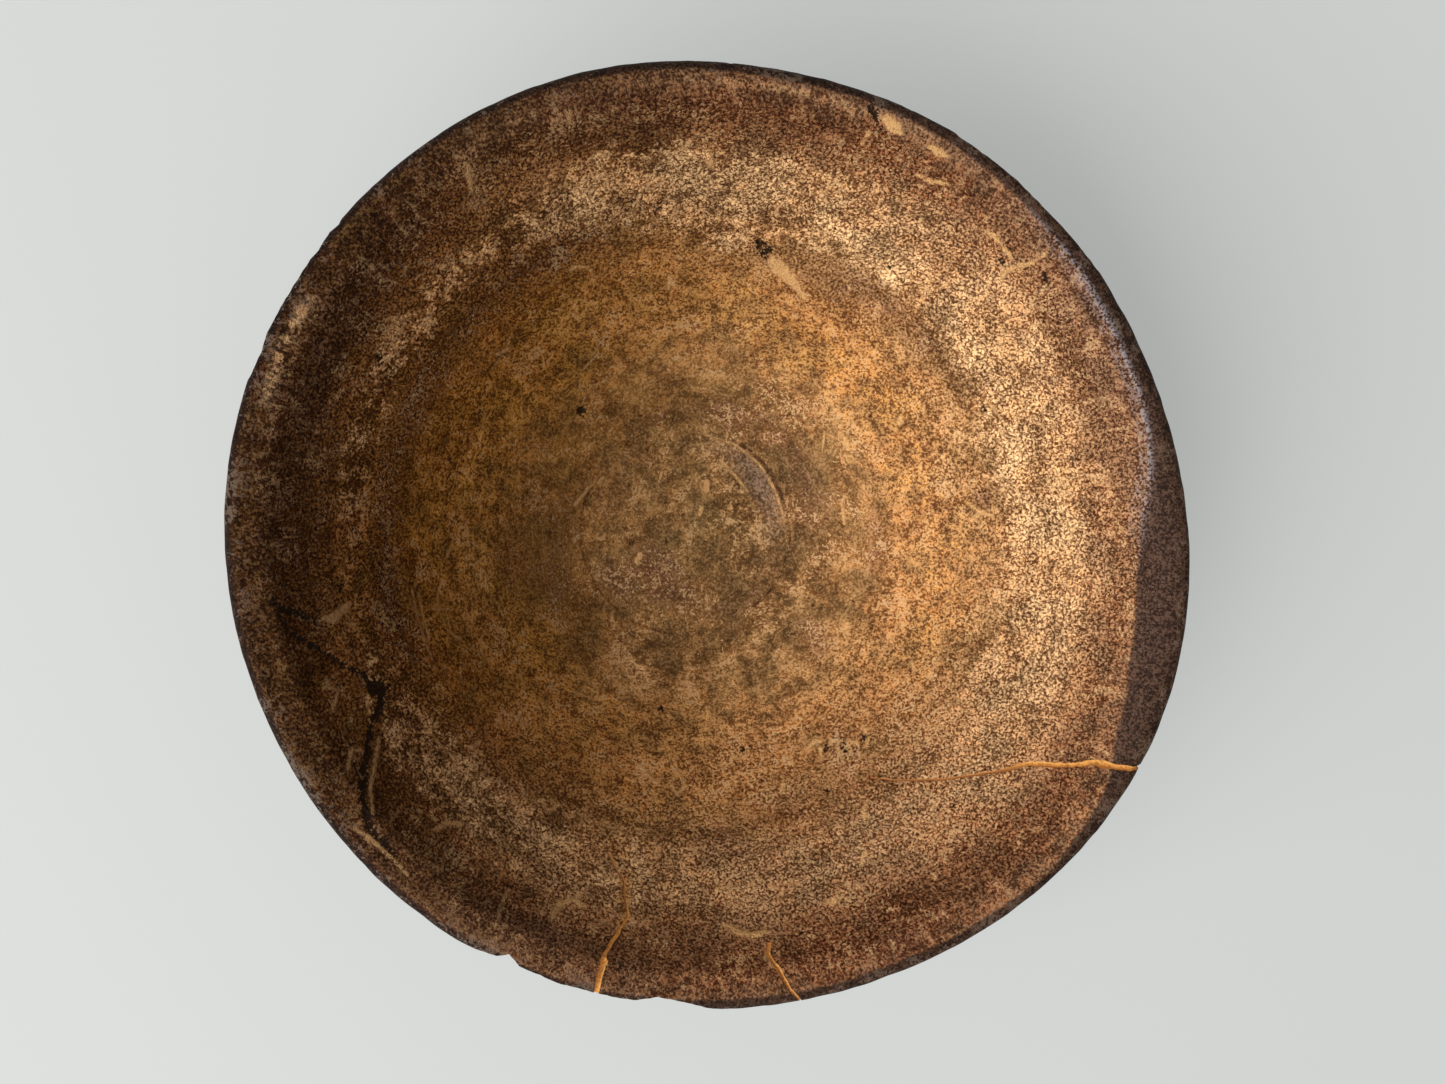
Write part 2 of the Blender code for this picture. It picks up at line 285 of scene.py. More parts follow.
# Bare tan and orange patches, scars and ridges.
TAN_MARKS = (
    ((76.3, 55, 0.9), (74.6, 54.2, 1.4), (72.2, 53.2, 1.2), (69.2, 52, 0.7), (66, 50.6, 0.3)),
    ((69.6, 82.7, 0.7), (68.4, 81.9, 1.1), (67.2, 81.4, 0.5)),
    ((62.9, 81.5, 0.4), (61.6, 81.3, 0.7), (60.3, 81.5, 0.3)),
    ((62.4, 76.6, 0.2), (60, 77, 0.3), (57.8, 77.9, 0.2)),
    ((41.8, 80, 0.3), (41.9, 77.2, 0.3), (42.6, 75.4, 0.4), (43, 73.9, 0.4), (42.4, 72.4, 0.2)),
    ((42.6, 75.4, 0.2), (45, 75.8, 0.2), (47.4, 76.2, 0.3), (49.6, 75.8, 0.2)),
    ((71, 79.6, 0.3), (71.2, 77.4, 0.2)), ((91.6, 70.9, 0.4), (91.3, 69.9, 0.6), (90.9, 69, 0.3)),
    ((94.4, 73, 0.2), (95.2, 72.2, 0.3), (96.2, 71.6, 0.2)),
    ((124.8, 79.4, 0.3), (125.4, 77.6, 0.4), (125.8, 75.6, 0.2)),
    ((110.4, 80.4, 0.2), (110.8, 78.6, 0.2)),
    ((113, 53.9, 0.2), (113.4, 55.3, 0.2), (115.2, 56.2, 0.3), (117, 56.2, 0.2)),
    ((95, 48, 0.2), (96.5, 49.4, 0.2), (97.2, 48.1, 0.3), (96.6, 50.2, 0.2)),
    ((-169.6, 72.2, 0.3), (-169.2, 70.2, 0.9), (-170.6, 67.4, 0.6)),
    ((-144.2, 83.4, 0.2), (-141.6, 82.3, 0.4), (-137.4, 81.6, 0.3), (-134.8, 82.2, 0.2)),
    ((-143.4, 79.3, 0.2), (-146, 77, 0.4), (-147.6, 74.8, 0.3), (-150.4, 71.4, 0.3)),
    ((-150, 78, 0.3), (-151.6, 76, 0.3), (-150.6, 74.4, 0.3), (-149.2, 75.6, 0.2)),
    ((-157.4, 75.8, 0.3), (-159.6, 73.4, 0.3), (-160.8, 75.4, 0.2)),
    ((-135.6, 73.9, 0.3), (-134.7, 71.8, 0.4), (-132.8, 70.2, 0.2)),
    ((-115, 75.4, 0.3), (-114.6, 73.2, 0.3), (-112.4, 71.6, 0.4), (-110.6, 72.2, 0.2)),
    ((-108.4, 74.2, 0.3), (-107.2, 73.4, 0.2)), ((-139, 60, 0.3), (-138.6, 58, 0.2)),
    ((-123.6, 59.8, 0.2), (-122.6, 59, 0.3), (-121.8, 59.8, 0.2)),
    ((-120.6, 60.2, 0.2), (-119.6, 58.6, 0.2)),
    ((-89.6, 72.1, 0.3), (-88.2, 73.2, 0.7), (-86, 74.2, 0.4), (-84, 74, 0.7)),
    ((-102, 73, 0.2), (-101.2, 72, 0.3)),
    ((-74.6, 71.6, 0.3), (-72.6, 72, 0.4), (-71.4, 70.8, 0.3)),
    ((-66, 68.2, 0.2), (-64.6, 66.8, 0.3), (-63.4, 68, 0.2)),
    ((-84.4, 66.6, 0.2), (-83, 65.4, 0.2), (-81.8, 66.4, 0.2)),
    ((-61.4, 62.4, 0.3), (-60.4, 60.8, 0.4), (-58.8, 60, 0.2)),
    ((-104.6, 47, 0.2), (-100, 49.8, 0.2)),
    ((-97.2, 49.4, 0.2), (-95.4, 51.2, 0.2), (-93.4, 49.6, 0.2), (-94.8, 47.6, 0.2), (-97.2, 49.4, 0.2)),
    ((-63.2, 48.3, 0.3), (-61, 47.6, 0.3), (-59.2, 48.2, 0.2)),
    ((-61.8, 50.8, 0.2), (-60.6, 49.2, 0.3), (-59.6, 50.6, 0.2)),
    ((-58.2, 52.8, 0.2), (-57.2, 50.2, 0.3), (-56.2, 49.2, 0.2)),
    ((-55.8, 52.6, 0.3), (-54.6, 50.2, 0.2), (-53.4, 51.6, 0.3)),
    ((-52.6, 53, 0.2), (-50.6, 52.2, 0.3), (-49.8, 50, 0.2)),
    ((-32.6, 50.6, 0.2), (-31.4, 49.4, 0.2)), ((-72.6, 52.8, 0.2), (-71.6, 51.8, 0.2)),
    ((3.4, 56.8, 0.2), (4.2, 55, 0.3), (2.4, 53.6, 0.3)), ((4.2, 55, 0.2), (6.2, 53.2, 0.2)),
    ((28.2, 46.2, 0.5), (29.4, 47, 0.3)),
    ((134.2, 52.2, 0.2), (136, 51, 0.3), (138.4, 51.8, 0.2)),
    ((-150.8, 10.6, 0.6), (-147.4, 11.8, 0.5)),
)
# Thin pale scratches, threads of slip and the light edge of the step round the well.
SCRATCHES = (
    ((-170.2, 55.9, 0.2), (-165.9, 56.1, 0.2), (-162, 56.3, 0.2), (-156.3, 56.6, 0.15)),
    ((-169.4, 54.9, 0.1), (-164.8, 55.1, 0.15), (-160.2, 55.4, 0.1)),
    ((-170.8, 50, 0.15), (-168, 51.4, 0.2), (-164.2, 52.4, 0.15)),
    ((-165.6, 53.2, 0.15), (-164.4, 50.4, 0.15)), ((-160, 51.6, 0.2), (-157.2, 50.2, 0.15)),
    ((-178, 47.6, 0.15), (-175.6, 48.6, 0.15)), ((-135.4, 50.4, 0.2), (-135.9, 48.8, 0.15)),
    ((147.5, 19.9, 0.25), (155.4, 21.4, 0.3), (166.7, 23.2, 0.3)),
    (
        (78.4, 19.9, 0.05), (60, 20.2, 0.12), (41.8, 20.4, 0.16), (21.6, 20.4, 0.16),
        (2.1, 20.8, 0.1), (-12, 21.4, 0.05),
    ),
    ((63, 16, 0.15), (46.7, 15.1, 0.2), (30.4, 15.1, 0.15)),
    ((65.5, 10.8, 0.5), (62.4, 9.4, 0.7), (60, 8.8, 0.3)), ((52, 5.8, 0.25), (47, 4.4, 0.3)),
    ((-178.4, 17.9, 0.2), (-175.4, 18.1, 0.25), (-174.6, 16.8, 0.25), (-177.4, 16.5, 0.2)),
    ((10.9, 32, 0.15), (6.4, 31.9, 0.25), (2, 31.9, 0.15)),
    ((112, 12.6, 0.12), (121, 10.8, 0.12)), ((36, 34, 0.15), (31, 32, 0.1)),
    ((-104, 58, 0.15), (-86, 57.6, 0.1)), ((-44, 56.8, 0.12), (-30, 55.6, 0.1)),
    ((12, 71, 0.12), (16, 72.6, 0.15)), ((20, 62, 0.12), (26, 60.6, 0.1)),
    ((119.7, 48.8, 0.25), (119.2, 47.4, 0.15)), ((118, 40, 0.12), (124, 38.6, 0.1)),
    ((150, 47, 0.12), (156, 45.6, 0.1)), ((-130, 40, 0.12), (-122, 38.6, 0.1)),
    ((-48.2, 47.6, 0.15), (-46.4, 48.6, 0.15)),
)
# Pools, pits and spots of dark glaze.
DARK_MARKS = (
    ((-161.2, 69.8, 0.3), (-159.6, 68.6, 0.9), (-157.6, 68.2, 1.2), (-155.8, 67, 1)),
    ((-158, 67.6, 0.9), (-156.4, 66.2, 0.9)),
    (
        (-155.4, 67.4, 1), (-154, 68.8, 0.8), (-152.8, 71.2, 0.5), (-150.6, 73.4, 0.7),
        (-148.5, 76.2, 0.8), (-145.8, 78.8, 0.7),
    ),
    ((-145.8, 78.8, 0.7), (-142.6, 81, 0.7), (-139.2, 81, 0.5), (-136.8, 81.4, 0.3)),
    ((-173.6, 79.6, 0.5), (-172.3, 78.4, 0.8), (-171.2, 76, 0.7), (-169.4, 73.2, 0.6)),
    (
        (-171.2, 78.8, 0.4), (-168.6, 77.4, 0.6), (-166.8, 75.2, 0.5), (-164.4, 72.6, 0.5),
        (-161.4, 70.2, 0.6),
    ),
    ((99.2, 62.3, 0.9), (97.4, 62.9, 0.5)),
    ((80, 57.6, 0.6), (78.9, 56.7, 1.4), (77.8, 55.9, 1.3), (77, 55.1, 0.7)), ((131.6, 32.2, 1.1),),
    ((44.6, 74.3, 0.7),), ((39.6, 77.8, 0.6), (38, 77.4, 0.5)),
    ((-105.6, 78.4, 0.3), (-104.8, 79.8, 0.4)),
    ((72.1, 83.8, 0.5), (70.9, 82.2, 0.6), (69.6, 80.4, 0.3)), ((94.2, 84.2, 0.3), (94, 83.2, 0.2)),
    ((-60.2, 50, 0.4), (-59, 49.4, 0.5)), ((-56.6, 51.6, 0.4), (-55.8, 50.6, 0.4)),
    ((-51.4, 51.4, 0.5), (-50.2, 51.8, 0.3)), ((-64.4, 55.6, 0.6),),
    ((-50.6, 67.4, 0.3),), ((-48.4, 68, 0.4),), ((-46.4, 67, 0.3),), ((-47.6, 65.4, 0.3),),
    ((151, 68.6, 0.7), (152.4, 67.8, 0.5)), ((-174, 67.4, 0.5), (-172.6, 68.4, 0.3)),
    ((38, 60.8, 0.2),), ((31.6, 64, 0.3),), ((56, 62.2, 0.3),), ((-124, 56, 0.2),), ((-78, 44.4, 0.3),),
    ((24, 59.6, 0.4),), ((16, 68.4, 0.2),), ((104, 69, 0.3),), ((-28, 62.4, 0.2),), ((-100, 36, 0.3),),
)
# Fine dark lines: round the well, under the lip and along the throwing rings.
DARK_LINES = (
    (
        (66, 20.9, 0.1), (52, 21, 0.3), (34, 21.2, 0.35), (14, 21.2, 0.3),
        (-4, 21.8, 0.25), (-28.4, 22.2, 0.25), (-50, 21.2, 0.2),
    ),
    ((64, 15.2, 0.15), (46.7, 14.3, 0.25), (32, 14.3, 0.15)),
    ((120, 21.6, 0.15), (140, 20.6, 0.2), (158, 21, 0.2), (176, 22, 0.15)),
    ((-26, 78.9, 0.15), (-14, 77.5, 0.25), (-4, 76.9, 0.25), (3, 77.8, 0.2)),
    ((-168, 57, 0.1), (-150, 57.4, 0.2), (-128, 57.8, 0.15)),
    (
        (-110, 60.2, 0.15), (-107.6, 57.6, 0.15), (-105.4, 54.6, 0.2), (-102.6, 52.4, 0.15),
        (-98.4, 51, 0.1),
    ),
    ((-96, 57.6, 0.1), (-86, 57.6, 0.2), (-78, 57.4, 0.1)),
    ((96, 66.2, 0.1), (88, 66, 0.2), (80, 66.4, 0.1)),
    ((104, 64.6, 0.1), (112, 64.2, 0.15), (118, 64.8, 0.1)),
    ((-6, 66, 0.1), (-12, 67.6, 0.2), (-18, 67.2, 0.15), (-21, 69, 0.1)),
    ((-30, 62, 0.1), (-25, 60.6, 0.15), (-19, 62.2, 0.1)),
    (
        (6.4, 57.4, 0.2), (8.4, 56.6, 0.25), (8.2, 55, 0.25), (6.6, 54.4, 0.2), (5.2, 55.4, 0.2),
        (5.6, 57, 0.2),
    ),
    ((146, 77.6, 0.2), (156, 77, 0.25), (168, 77.4, 0.2)),
)
# Deep pits, each (direction, radius, half width, depth), in millimetres.
PITS = (
    (79.6, 57.1, 0.7, 1), (78.3, 56.1, 1, 1.5), (76.8, 55.3, 0.5, 0.9), (98.7, 62.2, 0.8, 0.7),
    (97.4, 62.9, 0.4, 0.4), (131.3, 32.1, 0.9, 0.4), (15, 12, 0.4, 0.3), (150, 60, 0.5, 0.3),
)

# Soft washes of another tone, each (direction, radius, half length in degrees, half width, strength).
PURPLE_WASHES = (
    (50, 57.4, 20, 2.2, 0.65), (62, 54.5, 16, 2.2, 0.45), (-5, 38, 16, 2.2, 0.55),
    (20, 26.5, 28, 4.2, 0.6), (66, 25.6, 24, 3.2, 0.55), (100, 23.5, 20, 2, 0.4),
    (-131, 9.5, 30, 4, 0.75), (-97, 13.5, 24, 3, 0.6), (-142, 17.5, 16, 3, 0.6),
    (-62, 18, 14, 2, 0.45), (-42, 32.5, 7, 4.5, 0.6), (-160, 29, 16, 4, 0.45),
    (178, 25, 14, 4, 0.4), (-56.5, 50.4, 5.5, 2.4, 0.55), (-170, 36.5, 16, 3, 0.45),
    (-38, 19.5, 20, 2.2, 0.5), (122, 60, 18, 3, 0.6), (158, 59, 20, 3.2, 0.55),
    (152, 76, 22, 4.5, 0.85), (176, 72, 12, 3.5, 0.55), (-170, 60, 13, 3, 0.7),
    (-176, 77, 10, 5, 0.5), (22, 79.5, 24, 2.8, 0.85), (30, 76.6, 12, 1.6, 0.45),
    (-64, 80, 14, 2.5, 0.4), (-119.4, 78.2, 6.5, 1.3, 0.97), (-119, 78.4, 5, 1, 0.8),
    (-15, 79.6, 14, 1.3, 0.85), (-86, 59.5, 7, 2.5, 0.45), (-133, 74.3, 2.2, 1.4, 0.6),
    (-150, 50, 20, 3, 0.25), (6.8, 55.8, 1.7, 1.6, 0.9),
)
TAN_WASHES = (
    (4, 65, 30, 5, 0.8), (35, 66.5, 16, 5, 0.65), (86, 66.5, 24, 6, 0.92),
    (108, 65.5, 12, 5, 0.7), (62, 63, 14, 3.5, 0.6), (-40, 66, 18, 5, 0.45),
    (-95, 66, 22, 5, 0.3), (-138, 66.5, 20, 5.5, 0.65), (-112, 66, 14, 5, 0.4),
    (150, 66.5, 28, 3.2, 0.4), (156, 82.6, 6, 1.1, 0.55), (84, 82.4, 18, 1, 0.45),
    (118, 78.5, 11, 3.4, 0.3), (-42, 81.5, 10, 1.8, 0.35), (10, 74.6, 18, 1.8, 0.35),
    (85.6, 56.6, 4, 1.6, 0.7), (10, 50, 10, 3, 0.2), (-108, 29.5, 12, 3, 0.25),
    (20, 12, 40, 4, 0.25),
)
ORANGE_WASHES = (
    (-104.8, 69.5, 0.9, 5, 0.95), (-107.2, 63.6, 1, 2.6, 0.9), (50, 44.5, 38, 6, 0.6),
    (112, 48, 26, 5, 0.4), (-20, 50, 26, 5, 0.35), (-165, 46, 40, 6, 0.3),
    (-88, 51, 28, 4, 0.45), (100, 76.5, 30, 2, 0.3),
)
RED_WASHES = (
    (-62, 79.5, 34, 5, 0.85), (-60, 60, 32, 16, 0.4), (86, 78, 26, 3.6, 0.75),
    (94, 79.4, 24, 2.8, 0.8), (62, 78, 12, 3, 0.55), (-80, 79, 24, 4, 0.8),
    (-48, 76.5, 16, 3, 0.65), (20, 75.4, 22, 2.2, 0.45), (-20, 75, 20, 1.6, 0.35),
    (60, 33, 22, 1.6, 0.35), (-76, 56.4, 5, 1.2, 0.4),
)
CRUMB_WASHES = (
    (-115, 29.2, 10, 2.4, 0.9), (-110, 34.4, 7, 1.6, 0.8), (-49.6, 28.1, 8, 2.4, 0.9),
    (-38.8, 31.4, 6, 2, 0.9), (93.5, 17.6, 20, 2.4, 0.6), (62.3, 31.3, 14, 2.2, 0.9),
    (31.5, 38.2, 12, 3, 0.9), (77, 17.2, 10, 1.8, 0.9), (-15, 58.5, 4, 1.6, 0.9),
    (11, 51.5, 8, 2.4, 0.9), (-12, 12, 50, 5, 0.5), (117, 79, 12, 4, 0.8),
    (-84, 46.5, 22, 3.5, 0.6), (-70, 53, 16, 2.5, 0.6), (155, 83, 10, 2.2, 0.8),
    (26, 76.6, 12, 2.6, 0.6), (88, 42, 16, 3, 0.6), (-168, 44, 22, 4, 0.5),
    (168, 33, 12, 4, 0.5), (-36, 54, 14, 4, 0.5),
)
# Glossier patches of glaze; in the well they also carry a painted sheen.
GLOSS_AND_SHEEN_WASHES = (
    (30, 18.2, 32, 2, 0.9), (26, 77.6, 12, 2.4, 0.6), (120, 79, 24, 4, 0.12),
    (160, 84.5, 60, 0.9, 0.2),
)
# How far out the dark band of the lip begins, as (direction, radius).
LIP_BAND = (
    (-180, 84.9), (-150, 84.8), (-115, 84.4), (-90, 83.8), (-62, 83.6), (-46, 84.0), (-34, 82.4),
    (-27, 79.4), (-17, 77.6), (-5, 77.0), (2, 77.8), (9, 80.3), (14, 81.5), (18, 81.9), (28, 82.4),
    (48, 82.8), (60, 83.5), (72, 84.1), (90, 84.2), (112, 84.6), (145, 84.8), (180, 84.9),
)


def wash(radius, angle, washes):
    """How strongly the washes cover each point, 0 to 1."""
    clear = np.ones(len(radius))
    for direction, ring, spread_around, spread_out, strength in washes:
        turn = np.remainder(np.degrees(angle) - direction + 180, 360) - 180
        away = (turn / spread_around) ** 2 + ((radius * 1000 - ring) / spread_out) ** 2
        clear *= 1 - strength * np.exp(-away)
    return 1 - clear


# Relief of the surface: throwing rings, worn lip, pits and ridges.


def waver(points, size, seed):
    """Smooth noise of about -1 to 1 at each point, with features of this size in millimetres."""
    shift = Vector((seed * 7.13, seed * 3.71, seed * 5.37))
    scale = 1000 / size
    return np.array([noise.noise(Vector(point) * scale + shift) for point in points.tolist()])


def smooth(low, high, value):
    part = np.clip((value - low) / (high - low), 0, 1)
    return part * part * (3 - 2 * part)


def relief(points, radius, outside):
    """How far each point stands out from the turned form, in metres."""
    ring = radius * 1000
    sway = 1.6 * waver(points, 34, 1)
    rings = 0.08 * np.sin((ring + sway) * 1.45) + 0.05 * np.sin((ring - 1.3 * sway) * 2.9 + 1.1)
    rings *= smooth(24, 32, ring) * (1 - smooth(76, 80, ring))
    lumps = 0.10 * waver(points, 14, 2) + 0.05 * waver(points, 4.5, 3)
    lip = smooth(77, 82, ring)
    worn = -0.13 * lip * (0.8 + waver(points, 5, 4) + 0.6 * waver(points, 2.2, 5))
    sunk = -0.20 * (1 - smooth(-0.5, 0.4, field(points, DARK_MARKS)))
    raised = 0.12 * (1 - smooth(-0.4, 0.4, field(points, TAN_MARKS)))
    raised += 0.06 * (1 - smooth(-0.1, 0.25, field(points, SCRATCHES)))
    well = 0.12 * (1 - smooth(15.0, 15.6, ring)) + 0.10 * smooth(0, 3, abs(ring - 23.6)) - 0.10
    out = rings + lumps * (1 - lip) + worn + sunk + raised + well
    for direction, at, half_width, depth in PITS:
        out -= depth * (1 - smooth(-half_width, 0.5, away_from(points, ((direction, at, half_width),))))
    out = np.where(outside > 0, 0.05 * waver(points, 12, 6) - 0.05 - 0.03 * lip, out)
    return out / 1000 - INSET


# Faces this near a mark, in millimetres, are divided.
MARK_MARGIN = 0.9


def refine(form):
    """Divides the faces along the narrow marks, so that their relief and edges come out sharp."""
    points = np.array([vertex.co for vertex in form.verts])
    near = field(points, TAN_MARKS + SCRATCHES + DARK_MARKS) < MARK_MARGIN
    for direction, at, half_width, _ in PITS:
        near |= away_from(points, ((direction, at, half_width),)) < MARK_MARGIN
    near &= points[:, 2] > FLOOR_TOP - 0.001
    form.verts.ensure_lookup_table()
    edges = [edge for edge in form.edges if near[edge.verts[0].index] and near[edge.verts[1].index]]
    bmesh.ops.subdivide_edges(form, edges=edges, cuts=2, use_grid_fill=True)


def shape_surface(form):
    """Gives every vertex of the smooth body its relief, along its normal."""
    form.normal_update()
    points = np.array([vertex.co for vertex in form.verts])
    normals = np.array([vertex.normal for vertex in form.verts])
    radius, height, _ = unplace(points)
    outside = is_outside(radius, height)
    standing = (height > FOOT_RECESS + FOOT_CHAMFER) * 1.0
    moved = points + normals * (relief(points, radius, outside) * standing)[:, None]
    for vertex, point in zip(form.verts, moved.tolist()):
        vertex.co = point


def is_outside(radius, height):
    """1 for a point of the outside, 0 for one of the inside or the lip."""
    middle = np.interp(radius, INNER_RADII, INNER_HEIGHTS) - 0.0022
    below_wall = (height < middle) & (radius < RIM_RADIUS - 0.0004)
    below_lip = (height < HEIGHT - 0.0045) & (radius > 0.0835)
    return np.where(below_wall | below_lip, 1.0, 0.0)


# Broken stretches of the rim and the cracks.

CHIP_LEAD = 0.0003
CHIPS = {
    "lower_left": (
        (-125, -CHIP_LEAD), (-122, 0.0007), (-120, 0.0014), (-118.8, 0.0029), (-117, 0.0017),
        (-114, 0.0015), (-111, 0.0013), (-108, 0.0016), (-104, 0.0013), (-102, 0.0016),
        (-99.2, 0.0029), (-97, 0.0023), (-95, 0.0018), (-93, 0.0009), (-89.5, -CHIP_LEAD),
    ),
    "lower_right": ((-54.5, -CHIP_LEAD), (-48, 0.0006), (-45, 0.0008), (-42.5, -CHIP_LEAD)),
    "upper_right": (
        (30.3, -CHIP_LEAD), (36, 0.0006), (41.5, 0.0011), (47.5, 0.0014), (51, 0.0011),
        (57, 0.0009), (60.3, 0.0007), (61.6, -CHIP_LEAD),
    ),
    "upper_nick": ((65.8, -CHIP_LEAD), (67, 0.0005), (69.5, -CHIP_LEAD)),
    "top_nick": ((88.5, -CHIP_LEAD), (90, 0.0006), (91.5, -CHIP_LEAD)),
    "upper_left": (
        (138.5, -CHIP_LEAD), (140.8, 0.0008), (142.2, 0.0003), (144.5, 0.0009), (146.9, 0.0004),
        (150, 0.0007), (153.8, 0.0006), (155.3, 0.0003), (157.3, 0.001), (160, 0.0006),
        (162.3, -CHIP_LEAD),
    ),
}
CHIP_REACH = 0.0075
CHIP_SLANT = 0.55
CHIP_OUTER_CLEAR = 0.0045
CUTTER_CLEAR = 0.0015
CHIP_LEVELS = 12
CHIP_PITCH = 0.25

CRACKS = {
    "right": (
        (-29, 0.0011), (0.985, -31.5, 0.0011), (0.931, -33.8, 0.001), (0.868, -36.1, 0.0011),
        (0.808, -40.7, 0.0006), (0.73, -47, 0.0005), (0.615, -55.9, 0.0004),
    ),
    "lower_left": (
        (-106.9, 0.0012), (0.985, -107, 0.0008), (0.936, -105.9, 0.0007), (0.87, -104.1, 0.0005),
        (0.776, -105.3, 0.0005), (0.711, -108.5, 0.0004),
    ),
    "bottom": (
        (-81.1, 0.0005), (0.985, -83.9, 0.0008), (0.955, -84.3, 0.001), (0.931, -83.8, 0.0009),
    ),
}
CRACK_DEPTH = 0.0006
CRACK_DOWN_OUTSIDE = 0.35
CRACK_PITCH = 0.0005


def add_object(name, data):
    item = bpy.data.objects.new(name, data)
    bpy.context.scene.collection.objects.link(item)
    return item


def loft(form, rings):
    """A closed body through rings of points, added to the form."""
    loops = [[form.verts.new(point) for point in ring] for ring in rings]
    count = len(loops[0])
    for loop, following in zip(loops, loops[1:]):
        for step in range(count):
            after = (step + 1) % count
            form.faces.new((loop[step], loop[after], following[after], following[step]))
    form.faces.new(list(reversed(loops[0])))
    form.faces.new(loops[-1])


def chip_rings(outline, seed):
    """A rough break through the lip, from below it to above, whose face leans outwards going down."""
    directions = np.array([direction for direction, _ in outline])
    depths = np.array([depth for _, depth in outline])
    fine = np.unique(np.concatenate([directions, np.arange(directions[0], directions[-1], CHIP_PITCH)]))
    depth = np.interp(fine, directions, depths)
    low = HEIGHT - CHIP_REACH
    high = HEIGHT + RIM_SADDLE + CUTTER_CLEAR
    ends = np.minimum(fine - fine[0], fine[-1] - fine)
    rings = []
    for level in np.linspace(low, high, CHIP_LEVELS):
        part = (level - low) / (high - low)
        share = CHIP_SLANT + (1 - CHIP_SLANT) * part
        spots = np.stack([fine * 1.4, np.full(len(fine), level * 1000), np.full(len(fine), seed * 9.0)], 1)
        rough = waver(spots / 1000, 1.3, 11) * 0.00016 + waver(spots / 1000, 4.0, 12) * 0.00022
        radius = RIM_RADIUS - depth * share - rough * smooth(0, 2.0, ends)
        broken = place(radius, HEIGHT, np.radians(fine))
        clear = place(RIM_RADIUS + CHIP_OUTER_CLEAR, HEIGHT, np.radians(fine[::-1]))
        ring = np.concatenate([broken, clear])
        ring[:, 2] = level
        rings.append(ring.tolist())
    return rings


def surface_run(points):
    """A crack's way over the bowl, as (radius, height, lean of the normal outwards, direction, width)."""
    edge_direction, edge_width = points[0]
    _, wall_direction, wall_width = points[1]
    run = []
    for step in range(3):
        fade = (step + 1) / 4
        share = WALL_TOP_SHARE - CRACK_DOWN_OUTSIDE * (1 - fade)
        radius, height = outer_wall(share)
        run.append((radius, height, math.pi / 2 + wall_lean(share), edge_direction, edge_width * fade))
    under = underside_turn()
    for step in range(9):
        turn = under - (LIP_SLOPE + under) * step / 8
        radius, height = lip_point(turn)
        across = max(min((RIM_RADIUS - radius) / LIP_WIDTH, 1.0), 0.0) if turn < math.pi / 2 else 0.0
        direction = edge_direction + (wall_direction - edge_direction) * across
        run.append((radius, height, turn, direction, edge_width + (wall_width - edge_width) * across))
    for share, direction, width in points[1:]:
        radius, height = inner_wall(share)
        run.append((radius, height, -wall_lean(share), direction, width))
    return np.array(run)


def crack_rings(points, seed):
    """A groove along the crack, ragged at its edges, with a narrow floor CRACK_DEPTH down."""
    run = surface_run(points)
    coarse = place(run[:, 0], run[:, 1], np.radians(run[:, 3]))
    reach = np.concatenate([[0], np.cumsum(np.linalg.norm(np.diff(coarse, axis=0), axis=1))])
    steps = np.linspace(0, reach[-1], int(reach[-1] / CRACK_PITCH))
    radius, height, lean, direction, width = (np.interp(steps, reach, column) for column in run.T)
    angle = np.radians(direction)
    centres = place(radius, height, angle)
    raised = place(radius + CUTTER_CLEAR * np.sin(lean), height + CUTTER_CLEAR * np.cos(lean), angle)
    normals = raised - centres
    normals /= np.linalg.norm(normals, axis=1)[:, None]
    along = np.gradient(centres, axis=0)
    sides = np.cross(normals, along)
    sides /= np.linalg.norm(sides, axis=1)[:, None]
    spots = np.stack([steps, np.zeros(len(steps)), np.full(len(steps), seed * 0.05)], 1)
    left = 1 + 0.45 * waver(spots, 1.1, 21) + 0.3 * waver(spots, 2.7, 22)
    right = 1 + 0.45 * waver(spots, 1.1, 23) + 0.3 * waver(spots, 2.7, 24)
    stray = width * 0.35 * waver(spots, 3.5, 25)
    rings = []
    for index, (centre, normal, side) in enumerate(zip(centres, normals, sides)):
        centre = centre + side * stray[index]
        half = width[index] / 2
        deep = min(CRACK_DEPTH, width[index] * 0.7)
        grow = 0.6 * CUTTER_CLEAR / deep
        bottom = centre - normal * deep
        top = centre + normal * CUTTER_CLEAR
        wide_left = half * left[index] * (1 + grow)
        wide_right = half * right[index] * (1 + grow)
        rings.append(
            [
                bottom - side * half * left[index] * 0.4,
                bottom + side * half * right[index] * 0.4,
                top + side * wide_right,
                top - side * wide_left,
            ]
        )
    return rings


def cut_away(name, lofts, material, target):
    """Takes a set of closed bodies out of the target, leaving faces of the material there."""
    form = bmesh.new()
    for rings in lofts:
        loft(form, rings)
    bmesh.ops.recalc_face_normals(form, faces=form.faces)
    mesh = bpy.data.meshes.new(name)
    form.to_mesh(mesh)
    form.free()
    mesh.materials.append(material)
    cutter = add_object(name, mesh)
    cut = target.modifiers.new(name, "BOOLEAN")
    cut.operation = "DIFFERENCE"
    cut.solver = "EXACT"
    cut.material_mode = "TRANSFER"
    cut.object = cutter
    shape = bpy.data.meshes.new_from_object(target.evaluated_get(bpy.context.evaluated_depsgraph_get()))
    target.modifiers.clear()
    target.data = shape
    bpy.data.objects.remove(cutter, do_unlink=True)


# Finishes.


